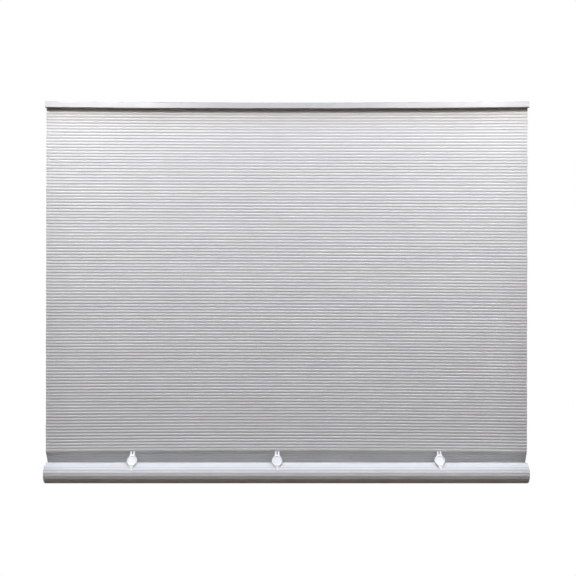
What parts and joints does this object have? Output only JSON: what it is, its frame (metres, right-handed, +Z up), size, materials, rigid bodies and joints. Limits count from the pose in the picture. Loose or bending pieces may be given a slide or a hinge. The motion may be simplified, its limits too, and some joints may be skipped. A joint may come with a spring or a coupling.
{
  "type": "outdoor roll-up blind",
  "caption": "Outdoor roll-up blind: a white slat curtain under a slim head rail, its lower end wound in a roll that hook clips hold up.",
  "frame": {"origin": "midway between the two hanging holes, on the plane of the head rail's top", "axes": "+X along the head rail to the right as seen from the front, -Y towards the front, +Z up"},
  "size_m": [1.216, 0.0528, 0.9605],
  "materials": {
    "rail": "satin",
    "slat": "satin",
    "clip": "gloss",
    "core": "matte",
    "steel": "zinc plated"
  },
  "bodies": {
    "head": {"head_rail": "rail", "head_cap_left": "rail", "head_cap_right": "rail", "clamp_strip": "rail", "clamp_screws": "steel", "hanger_left": "steel", "hanger_right": "steel", "hanger_screws": "steel", "slat_curtain": "slat"},
    "hung_roll": {"outer_turn_slats": "slat", "clip_left": "clip", "clip_middle": "clip", "clip_right": "clip"},
    "rolled_core": {"rolled_slats": "slat", "bottom_rail": "core", "bottom_cap_left": "core", "bottom_cap_right": "core"}
  },
  "joints": [
    {"name": "roll_lift", "type": "slide", "parent": "head", "child": "hung_roll", "axis": [0, 0, 1], "range_m": [0, 0.82], "deforming": ["slat_curtain"]},
    {"name": "roll_turn", "type": "hinge", "parent": "hung_roll", "child": "rolled_core", "pos_m": [0, -0.0182, -0.93468], "axis": [1, 0, 0], "range_deg": [-1900, 0]}
  ],
  "couplings": [
    {"joint": "roll_turn", "follows": "roll_lift", "rad_per_m": -40.404}
  ]
}
